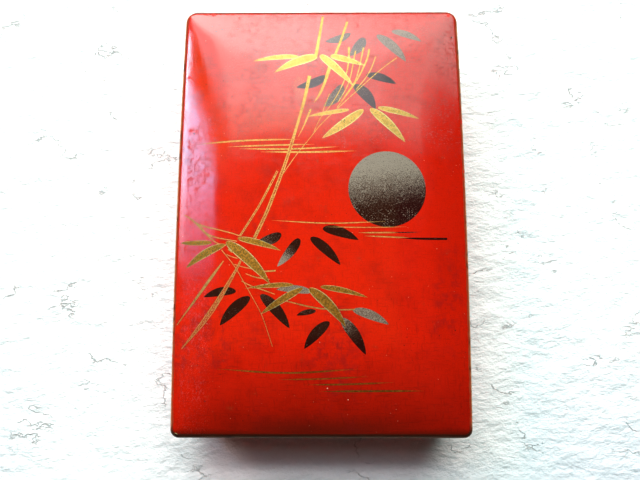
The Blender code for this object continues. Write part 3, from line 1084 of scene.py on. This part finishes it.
FLOOR_REACH = 4.0
SKY_HEIGHT = 3.0
LAYER_STEP = 0.02
CAMERA_GAMMA = 0.88    # the photograph is contrasty
ROOM_GLOW = colour(1.0, 0.78, 0.55)
ROOM_STRENGTH = 0.025
DAYLIGHT = (0.61, 0.975, 0.97)
DIM_WALL = (0.66, 0.975, 0.8)
EMBER = (0.66, 0.86, 0.2)
HIGH_SKY = (0.92, 0.9, 0.91)
WARM_WHITE = (1.0, 0.8, 0.75)
WARM_ROOM = (1.0, 0.58, 0.52)
SKY_BLUE = (0.05, 0.6, 1.0)
PALE_LILAC = (0.5, 0.82, 1.0)
DUSK = (0.39, 0.96, 0.93)
AMBER = (1.0, 0.8, 0.2)

# The camera stands nearly over the near half of the box and looks down, its top
# leaning away from the reader. Its place was fitted to the outline in the photograph.
CAMERA_PLACE = Vector((0.00208, -0.08734, 0.42886))
CAMERA_TURN = tuple(map(math.radians, (10.84, 0.42, 0.03)))
CAMERA_LENS = 39.375
SENSOR_WIDTH = 36.0
CLIP_START = 0.01


def add_floor():
    mesh = bpy.data.meshes.new("floor")
    r = FLOOR_REACH
    mesh.from_pydata([(-r, -r, 0), (r, -r, 0), (r, r, 0), (-r, r, 0)], [], [(0, 1, 2, 3)])
    mesh.materials.append(pale_floor())
    new_object("floor", mesh)


def window(name, centre, aim, size, radiance, tint):
    """An area light of that size and radiance that faces a point."""
    data = bpy.data.lights.new(name, "AREA")
    data.shape = "RECTANGLE"
    data.size, data.size_y = size
    data.energy = radiance * math.pi * size[0] * size[1]
    data.color = tint
    light = new_object(name, data)
    light.location = centre
    facing = Vector(aim) - Vector(centre)
    light.rotation_euler = facing.to_track_quat("-Z", "Y").to_euler()
    light.visible_camera = False
    return light


def sky_window(name, x_slopes, y_slopes, radiance, tint=DAYLIGHT, layer=0):
    """A level window overhead. Its edges are given by how far they lean from straight
    up, as seen from the lid: 1 is halfway to the horizon. Windows that overlap and are
    both mirrored need different layers."""
    height = SKY_HEIGHT + LAYER_STEP * layer
    x, y = (height * sum(pair) / 2 for pair in (x_slopes, y_slopes))
    size = [height * (high - low) for low, high in (x_slopes, y_slopes)]
    return window(name, (x, y, height + CROWN_Z), (x, y, 0), size, radiance, tint)


def slanted_window(name, edge, level, strips, tint, layer=0):
    """A window made of upright strips between a level edge and a slanting one. The slanting
    edge is given as (x slope, y slope, radiance) at its corners, from left to right."""
    corner_x, corner_y, corner_radiance = zip(*edge)
    sides = np.linspace(corner_x[0], corner_x[-1], strips + 1)
    for left, right in zip(sides, sides[1:]):
        middle = (left + right) / 2
        limit = np.interp(middle, corner_x, corner_y)
        radiance = np.interp(middle, corner_x, corner_radiance)
        sky_window(name, (left, right), (min(limit, level), max(limit, level)), radiance, tint, layer)


def add_far_windows():
    """The windows beyond the box, whose glare covers the far half of its top."""
    for row in (
        ("glow_left_edge", (-0.375, 0.0), (0.36, 0.39), 1.6, DIM_WALL),
        ("glow_left_low", (-0.375, 0.0), (0.39, 0.455), 3.9, DIM_WALL),
        ("glow_left", (-0.385, 0.0), (0.455, 0.7), 5.3),
        ("glow_middle_edge", (0.0, 0.18), (0.36, 0.41), 1.7, DIM_WALL),
        ("glow_middle", (0.0, 0.18), (0.41, 0.7), 4.1),
        ("glow_right_edge", (0.18, 0.44), (0.36, 0.41), 1.5, DUSK),
        ("glow_right", (0.18, 0.43), (0.41, 0.7), 3.0, DUSK),
        ("far_left_pane", (-0.32, 0.0), (0.7, 1.46), 8.2),
        ("far_middle_pane", (0.0, 0.1), (0.7, 1.46), 6.5),
        ("far_right_pane", (0.1, 0.2), (0.7, 1.46), 5.5),
        ("far_right_end", (0.2, 0.43), (0.7, 1.46), 4.6, DUSK),
        ("far_corner_left", (-0.66, -0.32), (0.8, 1.46), 8.6),
        ("far_corner_step", (-0.66, -0.385), (0.74, 0.8), 6.2),
        ("far_corner_step", (-0.385, -0.32), (0.7, 0.8), 5.6),
        ("far_corner_right", (0.43, 0.8), (0.59, 1.5), 4.4, DUSK),
        ("far_corner_dusk", (0.43, 0.8), (0.53, 0.59), 2.8, DUSK),
        ("far_corner_dusk", (0.43, 0.62), (0.47, 0.53), 1.4, DUSK),
        ("far_corner_dusk", (0.43, 0.54), (0.41, 0.47), 1.1, DUSK),
    ):
        sky_window(*row)


def add_left_window():
    """The blue window on the left, its bright rim and the dim panes around it."""
    for layer, lift in enumerate((-0.045, -0.01, 0.025), 1):
        edge = [(-0.735, 0.72 + lift, 1.4), (-0.575, 0.56 + lift, 1.2), (-0.385, 0.445 + lift, 1.05)]
        slanted_window("dim_pane", edge, 0.74, 5, PALE_LILAC, layer)
    sky_window("dim_gap", (-0.76, -0.385), (0.34, 0.74), 0.75, EMBER, 4)
    for row in (
        ((-0.82, -0.772), (0.56, 0.68), 26.0),
        ((-0.81, -0.757), (0.48, 0.56), 24.0),
        ((-0.8, -0.754), (0.3, 0.48), 17.0),
        ((-0.79, -0.757), (0.19, 0.3), 10.0),
    ):
        sky_window("left_pane_rim", *row, PALE_LILAC)
    slanted_window("left_pane", [(-0.754, 0.58, 18.0), (-0.725, 0.515, 17.0), (-0.678, 0.471, 13.6),
                                 (-0.6, 0.39, 12.4), (-0.507, 0.345, 10.4)], 0.34, 10, SKY_BLUE)
    sky_window("left_pane_low", (-0.754, -0.507), (0.305, 0.34), 10.2, SKY_BLUE)
    sky_window("left_pane_low", (-0.754, -0.507), (0.265, 0.305), 7.4, SKY_BLUE)
    slanted_window("left_pane_foot", [(-0.76, 0.17, 4.1), (-0.49, 0.17, 2.7)], 0.265, 2, SKY_BLUE)
    wall = sky_window("left_wall", (-1.2, 0.25), (-0.05, 0.33), 0.15, AMBER)
    wall.visible_diffuse = False


def add_soft_daylight():
    """Light that falls on the box and the paper and isn't mirrored."""
    for row in (
        ("left_daylight", (-1.5, -0.84), (0.45, 1.1), 13.2, WARM_WHITE),
        ("right_daylight", (0.0, 0.6), (1.0, 2.0), 8.0, WARM_WHITE),
        ("high_daylight", (-0.5, 0.5), (0.31, 0.43), 11.0, HIGH_SKY),
        ("overhead_daylight", (-0.35, 0.35), (0.12, 0.31), 3.0, HIGH_SKY),
        ("overhead_daylight", (-0.5, 0.5), (-0.25, 0.12), 0.35, HIGH_SKY),
    ):
        sky_window(*row).visible_glossy = False
    low = window("low_far_window", (0.1, 2.0, 0.62), (0, 0, 0.05), (2.8, 0.8), 5.5, WARM_ROOM)
    low.visible_glossy = False


def set_room():
    world = bpy.data.worlds.new("room")
    world.use_nodes = True
    background = world.node_tree.nodes["Background"]
    background.inputs["Color"].default_value = ROOM_GLOW
    background.inputs["Strength"].default_value = ROOM_STRENGTH
    bpy.context.scene.world = world
    view = bpy.context.scene.view_settings
    view.view_transform = "Standard"
    view.gamma = CAMERA_GAMMA


def add_camera():
    data = bpy.data.cameras.new("camera")
    data.lens = CAMERA_LENS
    data.sensor_width = SENSOR_WIDTH
    data.clip_start = CLIP_START
    camera = new_object("camera", data)
    camera.location = CAMERA_PLACE
    camera.rotation_euler = CAMERA_TURN
    bpy.context.scene.camera = camera


def all_materials():
    """The material of each finish."""
    return {
        LACQUER: vermilion_lacquer(),
        INSIDE: black_lacquer(),
        WORN_EDGE: worn_edge(),
        GOLD: gold_powder("gold_powder", GOLD_BODY, GOLD_SHADE, highlight_start=0.86, pit_start=0.62),
        # the darker gold: painted shade
        SHADED_GOLD: gold_powder(
            "shaded_gold_powder", SHADED_GOLD_BODY, SHADED_GOLD_DEEP, highlight_start=0.9, pit_start=0.58),
        DUST: gold_dust(),
        POWDER: moon_powder("silver_powder"),
        WARM_POWDER: moon_powder("warm_powder", WARM_BLACK, WARM_SILVER, WARM_GLINT),
        MOON: moon_powder("moon_powder", sparkle=1.0),
    }


def main():
    add_camera()
    materials = all_materials()
    lid = lid_mesh(materials)
    box = body_mesh({finish: materials[finish] for finish in (LACQUER, INSIDE)})
    for piece, node in ((lid, "lid"), (box, "body")):
        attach(piece, "root")
        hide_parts(node)
    add_floor()
    add_far_windows()
    add_left_window()
    add_soft_daylight()
    set_room()


main()
